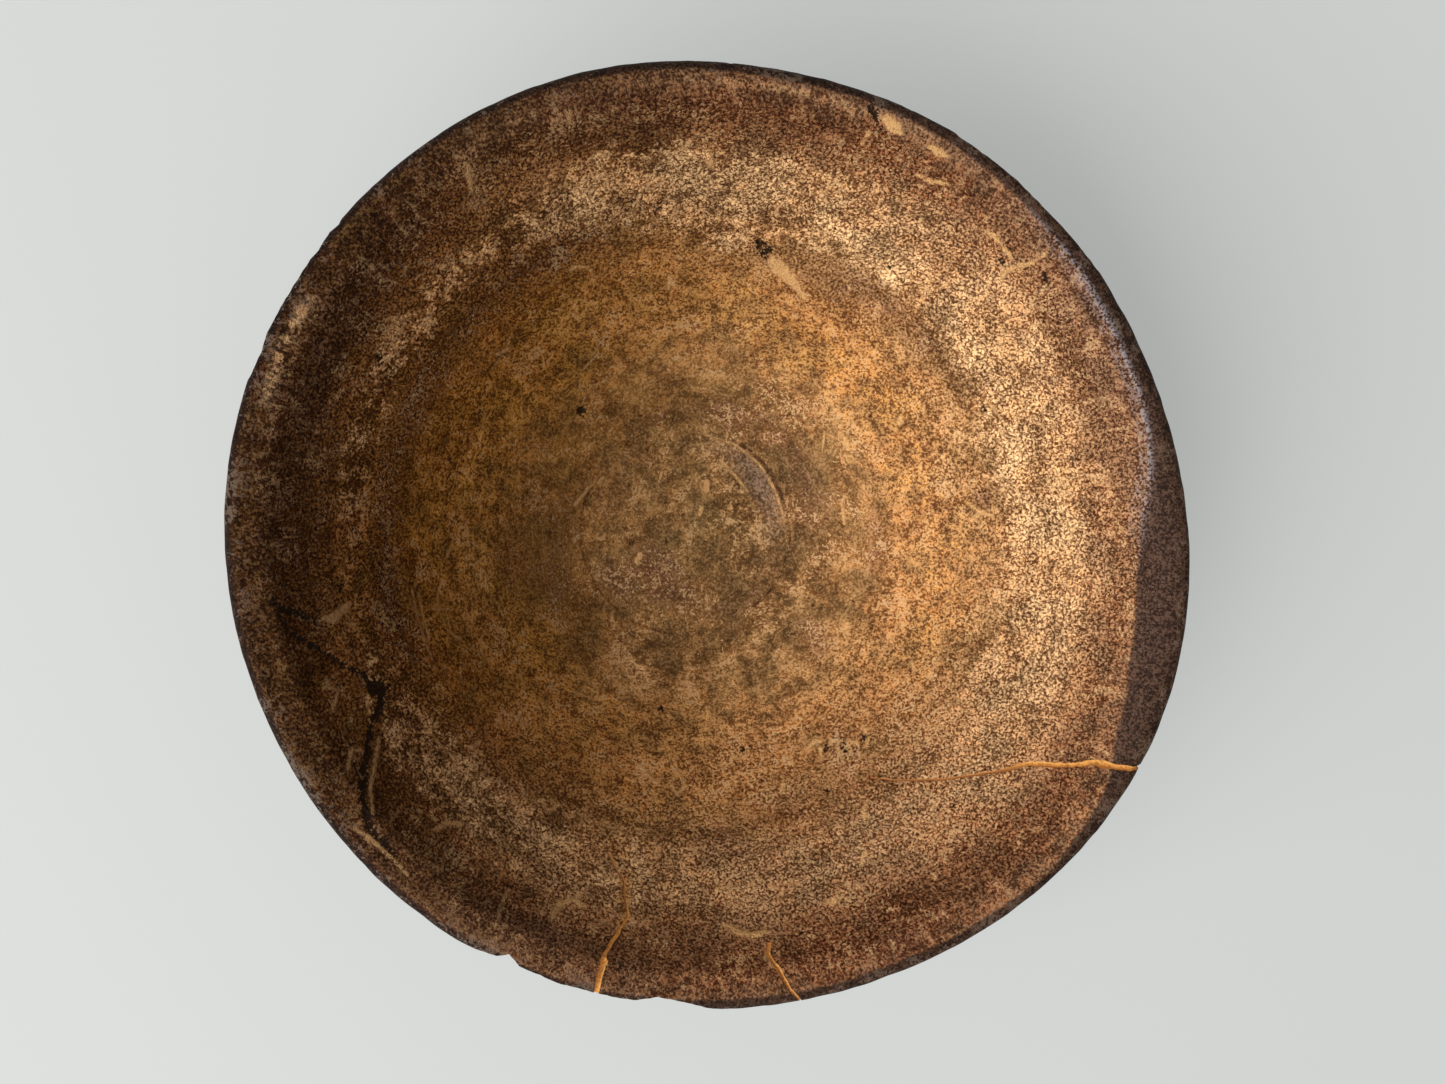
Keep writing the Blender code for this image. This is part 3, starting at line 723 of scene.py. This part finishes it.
class Nodes:
    """Short ways to lay out one material's nodes. Each method returns an output socket."""

    def __init__(self, name):
        self.material = bpy.data.materials.new(name)
        self.material.use_nodes = True
        self.tree = self.material.node_tree
        self.shader = self.tree.nodes["Principled BSDF"]

    def put(self, socket, value):
        if isinstance(value, bpy.types.NodeSocket):
            self.tree.links.new(value, socket)
        else:
            socket.default_value = value

    def add(self, kind, **settings):
        node = self.tree.nodes.new(kind)
        for key, value in settings.items():
            setattr(node, key, value)
        return node

    def fill(self, node, keys, values):
        for key, value in zip(keys, values):
            self.put(node.inputs[key], value)

    def math(self, operation, *values):
        node = self.add("ShaderNodeMath", operation=operation)
        self.fill(node, range(3), values)
        return node.outputs[0]

    def times(self, first, second):
        return self.math("MULTIPLY", first, second)

    def plus(self, first, second):
        return self.math("ADD", first, second)

    def vector_math(self, operation, first, second):
        node = self.add("ShaderNodeVectorMath", operation=operation)
        self.fill(node, range(2), (first, second))
        return node

    def attribute(self, name):
        return self.add("ShaderNodeAttribute", attribute_name=name).outputs["Fac"]

    def position(self):
        return self.add("ShaderNodeTexCoord").outputs["Object"]

    def scaled(self, vector, scale):
        node = self.add("ShaderNodeVectorMath", operation="SCALE")
        self.put(node.inputs[0], vector)
        self.put(node.inputs["Scale"], scale)
        return node.outputs[0]

    def noise(self, vector, *numbers, shift=0.0, output="Fac"):
        """The numbers are the scale, the detail, the roughness and the distortion."""
        node = self.add("ShaderNodeTexNoise")
        if shift:
            vector = self.vector_math("ADD", vector, (shift, shift * 0.7, -shift)).outputs[0]
        self.fill(node, ("Vector", "Scale", "Detail", "Roughness", "Distortion"), (vector, *numbers))
        return node.outputs[output]

    def step(self, value, low, high):
        """0 below low, 1 above high, smooth between."""
        node = self.add("ShaderNodeMapRange", interpolation_type="SMOOTHSTEP")
        self.fill(node, ("Value", "From Min", "From Max"), (value, low, high))
        return node.outputs["Result"]

    def span(self, *values):
        """A value between two numbers, moved to between two others."""
        node = self.add("ShaderNodeMapRange")
        self.fill(node, ("Value", "From Min", "From Max", "To Min", "To Max"), values)
        return node.outputs["Result"]

    def ramp(self, value, stops):
        """Colours or grey levels along a value, as (place, colour)."""
        node = self.add("ShaderNodeValToRGB")
        self.put(node.inputs["Fac"], value)
        band = node.color_ramp
        while len(band.elements) < len(stops):
            band.elements.new(1.0)
        for element, (place_at, colour) in zip(band.elements, stops):
            element.position = place_at
            element.color = (*colour, 1) if isinstance(colour, tuple) else (colour, colour, colour, 1)
        return node.outputs["Color"]

    def mix(self, share, first, second, blend="MIX"):
        node = self.add("ShaderNodeMix", data_type="RGBA", blend_type=blend)
        self.put(node.inputs[0], share)
        self.put(node.inputs[6], (*first, 1) if isinstance(first, tuple) else first)
        self.put(node.inputs[7], (*second, 1) if isinstance(second, tuple) else second)
        return node.outputs[2]

    def tint(self, share, first, second):
        return self.mix(share, first, second, "MULTIPLY")

    def bump(self, height, distance):
        node = self.add("ShaderNodeBump")
        self.put(node.inputs["Height"], height)
        node.inputs["Distance"].default_value = distance
        return node.outputs["Normal"]

    def combine(self, *parts):
        node = self.add("ShaderNodeCombineXYZ")
        self.fill(node, range(3), parts)
        return node.outputs[0]


# Glaze colours from the well out to the lip, as (radius in millimetres, colour where it is pale,
# colour where it is dark). The dark colours are partly darker glaze and partly painted shade on the side
# away from the key light.
GLAZE_TONES = (
    (0, (0.215, 0.12, 0.042), (0.27, 0.145, 0.05)),
    (10, (0.205, 0.108, 0.038), (0.215, 0.105, 0.032)),
    (18, (0.24, 0.124, 0.045), (0.175, 0.08, 0.02)),
    (25, (0.25, 0.124, 0.042), (0.175, 0.08, 0.018)),
    (34, (0.4, 0.2, 0.07), (0.18, 0.08, 0.017)),
    (42, (0.5, 0.236, 0.08), (0.205, 0.088, 0.014)),
    (50, (0.48, 0.226, 0.078), (0.2, 0.08, 0.01)),
    (57, (0.45, 0.228, 0.088), (0.165, 0.062, 0.008)),
    (63, (0.69, 0.39, 0.182), (0.155, 0.06, 0.01)),
    (69, (0.62, 0.335, 0.155), (0.16, 0.062, 0.013)),
    (74, (0.43, 0.21, 0.096), (0.12, 0.042, 0.006)),
    (78, (0.32, 0.155, 0.075), (0.065, 0.022, 0.003)),
    (86, (0.25, 0.125, 0.065), (0.05, 0.018, 0.003)),
)
# Direction of the side away from the key light, where the glaze is darkened: partly darker glaze, partly
# painted shade.
SHADED_SIDE_DIRECTION = math.radians(168)
TONES_END = 90.0
# How thick the net of cracks in the glaze is at each radius.
CRACKLE_ZONE = (
    (0, 0.10), (45, 0.20), (55.8, 0.50), (61.2, 1.0), (73.8, 1.0), (79.2, 0.70), (83.7, 0.3), (90, 0.2),
)
CURD = (0.74, 0.455, 0.215)
PURPLE = (0.150, 0.062, 0.033)
TAN = (0.70, 0.41, 0.19)
ORANGE = (0.50, 0.225, 0.055)
RED_BROWN = (0.215, 0.076, 0.028)
# Colour of the painted sheen in the well.
PAINTED_SHEEN = (0.36, 0.27, 0.24)
FLECK_TINT = (0.30, 0.20, 0.145)
BLACK_GLAZE = (0.012, 0.006, 0.003)
LIP_BROWN = (0.060, 0.033, 0.023)
BARE_CLAY = (0.80, 0.445, 0.175)
CRACK_CLAY = (0.80, 0.40, 0.095)
CRACK_DIRT = (0.52, 0.21, 0.04)
CRACK_OLD = (0.46, 0.175, 0.042)
CHIP_CLAY = (0.17, 0.105, 0.075)
CHIP_DIRT = (0.050, 0.026, 0.016)
CHIP_OLD = (0.10, 0.05, 0.03)


def glaze_material():
    n = Nodes("brown_glaze_mottled")
    place_mm = n.scaled(n.position(), 1000)
    ring = n.attribute("ring")
    way = n.add("ShaderNodeAttribute", attribute_name="way").outputs["Vector"]
    outside = n.attribute("outside")

    # Noise stretched around the bowl, as the throwing and brushing left it, and noise stretched
    # up the wall, as the glaze ran.
    way_parts = n.add("ShaderNodeSeparateXYZ")
    n.put(way_parts.inputs[0], way)
    east, north = way_parts.outputs[0], way_parts.outputs[1]
    around = n.combine(n.times(east, 7.0), n.times(north, 7.0), ring)
    runs = n.combine(n.times(east, 84.0), n.times(north, 84.0), n.times(ring, 0.30))

    broad = n.attribute("broad")
    middle = n.noise(place_mm, 0.50, 4.0, 0.65, 0.4, shift=9.0)
    grain = n.noise(place_mm, 1.20, 3.0, 0.70, 0.5, shift=3.0)
    fine = n.noise(place_mm, 2.1, 1.0, 0.65, shift=65.0)
    banding = n.noise(around, 0.42, 2.0, 0.6)
    run_noise = n.noise(runs, 0.75, 2.0, 0.6)

    def off(value, share):
        return n.times(n.math("SUBTRACT", value, 0.5), share)

    patch = n.plus(n.attribute("patch"), n.plus(off(middle, 0.5), off(grain, 0.25)))
    hue = n.plus(n.attribute("hue"), off(middle, 0.4))
    ragged = n.plus(off(grain, 1.2), n.plus(off(middle, 1.3), off(patch, 1.0)))
    wobble = n.plus(ring, n.plus(off(broad, 10.0), n.times(ragged, 6.0)))
    wobble = n.plus(wobble, off(banding, 5.0))
    at = n.math("DIVIDE", wobble, TONES_END)
    pale = n.ramp(at, [(radius / TONES_END, colour) for radius, colour, _ in GLAZE_TONES])
    dark = n.ramp(at, [(radius / TONES_END, colour) for radius, _, colour in GLAZE_TONES])
    # Painted shade, partly darker glaze: the tone goes from the pale to the dark colours towards the side
    # away from the key light.
    darkest = (math.cos(SHADED_SIDE_DIRECTION), math.sin(SHADED_SIDE_DIRECTION), 0)
    facing = n.vector_math("DOT_PRODUCT", way, darkest)
    turned = n.times(facing.outputs["Value"], n.step(ring, 0.0, 36.0))
    side = n.plus(turned, n.plus(off(broad, 0.7), n.times(ragged, 0.25)))
    shade = n.step(side, -0.75, 0.95)
    base = n.mix(shade, pale, dark)

    # Washes of tan, orange and purple-brown, whose edges break up into the mottling. Each has a darker
    # copy on the side away from the key light, partly painted shade.
    for name, colour, low, most in (
        ("tan_wash", TAN, 0.60, 0.85),
        ("orange_wash", ORANGE, 0.42, 0.75),
        ("red_wash", RED_BROWN, 0.30, 0.85),
        ("purple_wash", PURPLE, 0.32, 0.70),
    ):
        strength = n.attribute(name)
        reach = n.math("MULTIPLY_ADD", ragged, 1.5, strength)
        share = n.times(n.step(reach, 0.15, 0.75), n.times(n.step(strength, 0.03, 0.25), most))
        base = n.mix(share, base, n.mix(shade, colour, tuple(part * low for part in colour)))

    # Mottling: the tone breaks into light curds on darker ground, finest at the smallest size.
    thin_glaze = n.plus(n.times(grain, 0.45), n.times(fine, 0.55))
    thin_glaze = n.plus(thin_glaze, n.plus(off(middle, 0.25), off(banding, 0.15)))
    rough_zone = n.step(n.plus(ring, off(broad, 12.0)), 30.0, 46.0)
    worn_off = n.mix(rough_zone, (0.72, 0.63, 0.55), (0.43, 0.32, 0.24))
    built_up = n.mix(rough_zone, (1.16, 1.17, 1.18), (1.40, 1.42, 1.44))
    speckle = n.mix(n.step(thin_glaze, 0.40, 0.56), worn_off, built_up)
    value = n.span(middle, 0.30, 0.70, 0.74, 1.26)
    value = n.times(value, n.span(patch, 0.30, 0.70, 0.68, 1.32))
    value = n.times(value, n.span(banding, 0.30, 0.70, 0.86, 1.14))
    tone = n.tint(1.0, n.scaled(base, value), speckle)
    tone = n.tint(n.step(hue, 0.56, 0.40), tone, (0.97, 1.02, 1.05))
    tone = n.tint(n.step(hue, 0.48, 0.64), tone, (1.03, 0.97, 0.91))
    # The curds darken towards the side away from the key light too: partly painted shade.
    curd_colour = n.mix(shade, CURD, tuple(part * 0.42 for part in CURD))
    tone = n.mix(n.times(n.step(thin_glaze, 0.50, 0.62), 0.22), tone, curd_colour)

    # A net of short dark cracks where the glaze crawled, thick on the upper wall.
    bend = n.noise(place_mm, 0.9, 1.0, output="Color")
    bent = n.vector_math("MULTIPLY_ADD", bend, (1.5, 1.5, 1.5))
    n.put(bent.inputs[2], place_mm)
    cells = n.add("ShaderNodeTexVoronoi", feature="DISTANCE_TO_EDGE")
    n.fill(cells, ("Vector", "Scale"), (bent.outputs[0], 1.05))
    crack = n.step(n.plus(cells.outputs["Distance"], off(fine, 0.45)), 0.12, 0.03)
    crack = n.times(crack, n.step(n.plus(grain, off(middle, 0.9)), 0.34, 0.46))
    crack = n.times(crack, n.ramp(at, [(radius / TONES_END, share) for radius, share in CRACKLE_ZONE]))
    tone = n.tint(n.times(crack, 0.9), tone, FLECK_TINT)
    dots = n.step(n.noise(place_mm, 0.85, 1.0, 0.6, shift=44.0), 0.32, 0.27)
    tone = n.tint(n.times(dots, 0.75), tone, FLECK_TINT)

    # Pale curds of thicker slip, in crumbs and loose threads.
    crumb = n.noise(place_mm, 1.1, 2.0, 0.7, 1.0, shift=57.0)
    crumb = n.plus(crumb, n.plus(off(patch, 0.6), off(hue, 0.3)))
    crumb = n.math("MULTIPLY_ADD", n.attribute("crumb_wash"), 0.12, crumb)
    curd_share = n.times(n.step(crumb, 0.61, 0.66), n.times(n.step(ring, 86.0, 74.0), 0.80))
    curd_share = n.times(curd_share, n.step(n.plus(fine, off(grain, 0.7)), 0.42, 0.54))
    tone = n.mix(curd_share, tone, curd_colour)
    scratch = n.noise(place_mm, 0.20, 3.0, 0.5, 1.6, shift=12.0)
    thin = n.step(n.math("ABSOLUTE", n.math("SUBTRACT", scratch, 0.5)), 0.008, 0.002)
    thin = n.times(thin, n.step(hue, 0.54, 0.64))
    thin = n.times(thin, n.step(ring, 80.0, 70.0))
    tone = n.mix(n.times(thin, 0.55), tone, curd_colour)

    # Dark and pale runs under the lip.
    high_wall = n.times(n.step(wobble, 70.0, 77.0), n.step(ring, 86.0, 82.0))
    running = n.times(n.step(run_noise, 0.50, 0.60), high_wall)
    tone = n.tint(n.times(running, 0.30), tone, FLECK_TINT)
    pale_run = n.times(n.step(run_noise, 0.43, 0.36), high_wall)
    tone = n.mix(n.times(pale_run, n.times(n.step(crumb, 0.48, 0.56), 0.35)), tone, curd_colour)

    # The worn lip: dark, with pale specks along its outer edge, which stand partly for painted glints.
    lip = n.step(n.math("MULTIPLY_ADD", ragged, 0.9, n.attribute("lip_band")), -0.1, 0.5)
    lip_low, lip_high = (tuple(part * share for part in LIP_BROWN) for share in (0.5, 1.9))
    lip_tone = n.mix(n.step(thin_glaze, 0.43, 0.58), lip_low, lip_high)
    lip_tone = n.tint(n.step(ring, 80.5, 85.0), lip_tone, (0.50, 0.46, 0.42))
    # The lip is darker on the side away from the key light as well: partly painted shade.
    lip_tone = n.tint(shade, lip_tone, (0.50, 0.42, 0.36))
    tone = n.mix(n.times(lip, 0.93), tone, lip_tone)
    speck_and_glint = n.times(n.step(crumb, 0.60, 0.64), n.step(ring, 80.0, 86.4))
    tone = n.mix(n.times(speck_and_glint, 0.55), tone, (0.20, 0.14, 0.10))
    # Painted sheen: a pale pinkish-grey crescent in the well, where the glaze faces the key light.
    sheen = n.attribute("gloss_and_sheen_wash")
    sheen = n.times(sheen, n.times(n.step(thin_glaze, 0.36, 0.56), n.step(ring, 40.0, 30.0)))
    tone = n.mix(n.times(sheen, 0.45), tone, PAINTED_SHEEN)
    # Painted highlight: a broken pale glint line along the lip crease, on the side facing the key light.
    glint = n.times(n.attribute("crease_gloss_and_glint"), n.step(n.plus(fine, off(middle, 0.5)), 0.44, 0.56))
    tone = n.mix(n.times(glint, 0.70), tone, (0.42, 0.40, 0.43))

    edge_noise = n.plus(n.plus(off(grain, 2.2), off(fine, 1.2)), off(middle, 1.4))
    tan_field = n.plus(edge_noise, n.attribute("tan_field"))
    tan_mask = n.step(tan_field, 0.15, -0.10)
    # Bare clay has a darker copy on the side away from the key light: partly painted shade.
    bare_clay = n.mix(shade, BARE_CLAY, (0.33, 0.18, 0.075))
    tone = n.mix(n.times(tan_mask, n.span(thin_glaze, 0.38, 0.50, 0.60, 1.0)), tone, bare_clay)
    scratch_field = n.math("MULTIPLY_ADD", edge_noise, 0.5, n.attribute("scratch_field"))
    scratch_mask = n.step(scratch_field, 0.16, -0.08)
    tone = n.mix(n.times(scratch_mask, 0.75), tone, bare_clay)
    line_field = n.math("MULTIPLY_ADD", edge_noise, 0.25, n.attribute("line_field"))
    line_mask = n.step(line_field, 0.20, -0.05)
    tone = n.tint(n.times(line_mask, 0.70), tone, FLECK_TINT)
    dark_field = n.math("MULTIPLY_ADD", edge_noise, 1.1, n.attribute("dark_field"))
    dark_mask = n.step(dark_field, 0.15, -0.15)
    tone = n.mix(n.times(dark_mask, 0.93), tone, BLACK_GLAZE)

    # Plain dull brown outside, and bare worn clay under the foot.
    outer = n.mix(n.step(patch, 0.35, 0.65), (0.085, 0.042, 0.022), (0.175, 0.088, 0.042))
    outer = n.tint(n.times(dots, 0.7), outer, FLECK_TINT)
    outer = n.tint(n.step(grain, 0.62, 0.45), outer, (0.5, 0.45, 0.42))
    tone = n.mix(n.times(outside, n.math("SUBTRACT", 1.0, lip)), tone, outer)
    bare = n.attribute("bare")
    clay = n.mix(n.step(crumb, 0.4, 0.6), (0.36, 0.22, 0.13), (0.27, 0.155, 0.09))
    tone = n.mix(bare, tone, clay)
    n.put(n.shader.inputs["Base Color"], tone)

    crease = n.attribute("crease_gloss_and_glint")
    gloss = n.math("MAXIMUM", n.attribute("gloss_and_sheen_wash"), crease)
    gloss = n.times(gloss, n.step(thin_glaze, 0.42, 0.56))
    rough = n.span(grain, 0.3, 0.7, 0.50, 0.66)
    rough = n.math("SUBTRACT", rough, n.times(gloss, 0.34))
    n.put(n.shader.inputs["Roughness"], n.plus(rough, n.times(tan_mask, 0.2)))
    n.shader.inputs["Specular IOR Level"].default_value = 0.07

    height = n.times(n.plus(n.times(grain, 0.5), n.times(fine, 0.5)), 0.40)
    height = n.math("MULTIPLY_ADD", middle, 0.40, height)
    height = n.math("MULTIPLY_ADD", crack, -0.16, height)
    n.put(n.shader.inputs["Normal"], n.bump(height, 0.001))
    return n.material


def clay_material(name, colour, deep, old, old_below):
    """Bare clay of a break, darker where dirt has stayed in it, and of an old tone below one ring."""
    n = Nodes(name)
    place_mm = n.scaled(n.position(), 1000)
    grain = n.noise(place_mm, 1.8, 4.0, 0.65, 0.4)
    tone = n.mix(n.step(grain, 0.36, 0.60), deep, colour)
    age = n.step(n.attribute("ring"), old_below + 1.5, old_below - 1.5)
    n.put(n.shader.inputs["Base Color"], n.mix(age, tone, old))
    n.shader.inputs["Roughness"].default_value = 0.85
    n.put(n.shader.inputs["Normal"], n.bump(n.times(grain, 0.15), 0.001))
    return n.material


# The bowl.

form = bowl_mesh()
form.verts.index_update()
bmesh.ops.recalc_face_normals(form, faces=form.faces)
refine(form)
shape_surface(form)
smooth_mesh = bpy.data.meshes.new("bowl_glazed")
form.to_mesh(smooth_mesh)
form.free()
smooth_mesh.materials.append(glaze_material())
bowl = add_object("bowl_glazed", smooth_mesh)
chip_clay = clay_material("chip_clay", CHIP_CLAY, CHIP_DIRT, CHIP_OLD, 70.0)
crack_clay = clay_material("crack_clay", CRACK_CLAY, CRACK_DIRT, CRACK_OLD, 71.0)
chips = [chip_rings(outline, seed) for seed, outline in enumerate(CHIPS.values())]
cracks = [crack_rings(points, seed) for seed, points in enumerate(CRACKS.values())]
cut_away("chip_cutters", chips, chip_clay, bowl)
cut_away("crack_cutters", cracks, crack_clay, bowl)
mesh = bowl.data
mesh.name = "bowl_glazed"

points = np.empty(len(mesh.vertices) * 3)
mesh.vertices.foreach_get("co", points)
points = points.reshape(-1, 3)
radius, height, angle = unplace(points)


def tag(name, values):
    layer = mesh.attributes.new(name, "FLOAT", "POINT")
    layer.data.foreach_set("value", np.ascontiguousarray(values, np.float32))


tag("ring", radius * 1000)
way = mesh.attributes.new("way", "FLOAT_VECTOR", "POINT")
ways = np.stack([np.cos(angle), np.sin(angle), 0 * angle], 1)
way.data.foreach_set("vector", ways.astype(np.float32).ravel())
outside = is_outside(radius, height)
tag("outside", outside)
tag("bare", outside * (1 - smooth(0.0050, 0.0062, height)))
for noise_name, size, seed in (("broad", 18, 11), ("patch", 5.5, 12), ("hue", 8, 13)):
    value = waver(points, size, seed)
    value += 0.5 * waver(points, size / 2, seed + 5)
    value += 0.3 * waver(points, size / 4, seed + 9)
    tag(noise_name, 0.5 + 0.11 * value / value.std())
for field_name, marks in (
    ("line_field", DARK_LINES),
    ("tan_field", TAN_MARKS),
    ("scratch_field", SCRATCHES),
    ("dark_field", DARK_MARKS),
):
    tag(field_name, field(points, marks))
for wash_name, washes in (
    ("tan_wash", TAN_WASHES),
    ("orange_wash", ORANGE_WASHES),
    ("red_wash", RED_WASHES),
    ("purple_wash", PURPLE_WASHES),
    ("gloss_and_sheen_wash", GLOSS_AND_SHEEN_WASHES),
    ("crumb_wash", CRUMB_WASHES),
):
    tag(wash_name, wash(radius, angle, washes))
band_ring = np.interp(np.degrees(angle), *zip(*LIP_BAND))
tag("lip_band", radius * 1000 - band_ring)
# The lip crease, where its glaze is glossier and a glint is painted, only on the side facing the key
# light.
lit_crease = smooth(-6, 10, np.degrees(angle)) * (1 - smooth(36, 52, np.degrees(angle)))
crease = np.exp(-(((radius * 1000 - band_ring - 0.1) / 0.45) ** 2))
crease = np.maximum(crease, 0.6 * np.exp(-(((radius * 1000 - band_ring + 1.3) / 0.35) ** 2)))
tag("crease_gloss_and_glint", lit_crease * crease)
mesh.shade_smooth()
mesh.set_sharp_from_angle(angle=math.radians(38))
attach(bowl, "root")
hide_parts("bowl")

# Table, light and camera.

floor_mesh = bpy.data.meshes.new("table_top")
floor_mesh.from_pydata([(-3, -3, 0), (3, -3, 0), (3, 3, 0), (-3, 3, 0)], [], [(0, 1, 2, 3)])
floor = add_object("table_top", floor_mesh)
floor.location.z = -0.00005
table = Nodes("table_top")
table.shader.inputs["Base Color"].default_value = (0.70, 0.72, 0.70, 1)
table.shader.inputs["Roughness"].default_value = 0.6
glow = table.add("ShaderNodeEmission")
glow.inputs["Color"].default_value = (0.63, 0.655, 0.635, 1)
rays = table.add("ShaderNodeLightPath")
seen = table.math("MAXIMUM", rays.outputs["Is Camera Ray"], rays.outputs["Is Glossy Ray"])
blend = table.add("ShaderNodeMixShader")
table.put(blend.inputs[0], table.times(seen, 0.5))
table.put(blend.inputs[1], table.shader.outputs[0])
table.put(blend.inputs[2], glow.outputs[0])
table.put(table.tree.nodes["Material Output"].inputs["Surface"], blend.outputs[0])
floor_mesh.materials.append(table.material)

KEY_FROM = math.radians(208)
KEY_RISE = math.radians(42)
KEY_DISTANCE = 1.6
key_data = bpy.data.lights.new("key", "AREA")
key_data.shape = "RECTANGLE"
key_data.size = 1.5
key_data.size_y = 1.5
key_data.energy = 33.0
key = add_object("key", key_data)
key.location = (
    KEY_DISTANCE * math.cos(KEY_RISE) * math.cos(KEY_FROM),
    KEY_DISTANCE * math.cos(KEY_RISE) * math.sin(KEY_FROM),
    KEY_DISTANCE * math.sin(KEY_RISE),
)
key.rotation_euler = (-key.location).to_track_quat("-Z", "Y").to_euler()

world = bpy.data.worlds.new("room")
world.use_nodes = True
world.node_tree.nodes["Background"].inputs["Color"].default_value = (1, 1, 1, 1)
world.node_tree.nodes["Background"].inputs["Strength"].default_value = 0.33
bpy.context.scene.world = world

camera_data = bpy.data.cameras.new("camera")
camera_data.sensor_width = 36.0
camera_data.lens = 42.35
camera = add_object("camera", camera_data)
camera.location = (-0.04768, 0.02516, 0.35387)
camera.rotation_euler = (math.radians(-4.647), math.radians(-8.86), 0.0)
bpy.context.scene.camera = camera
bpy.context.scene.view_settings.view_transform = "Standard"
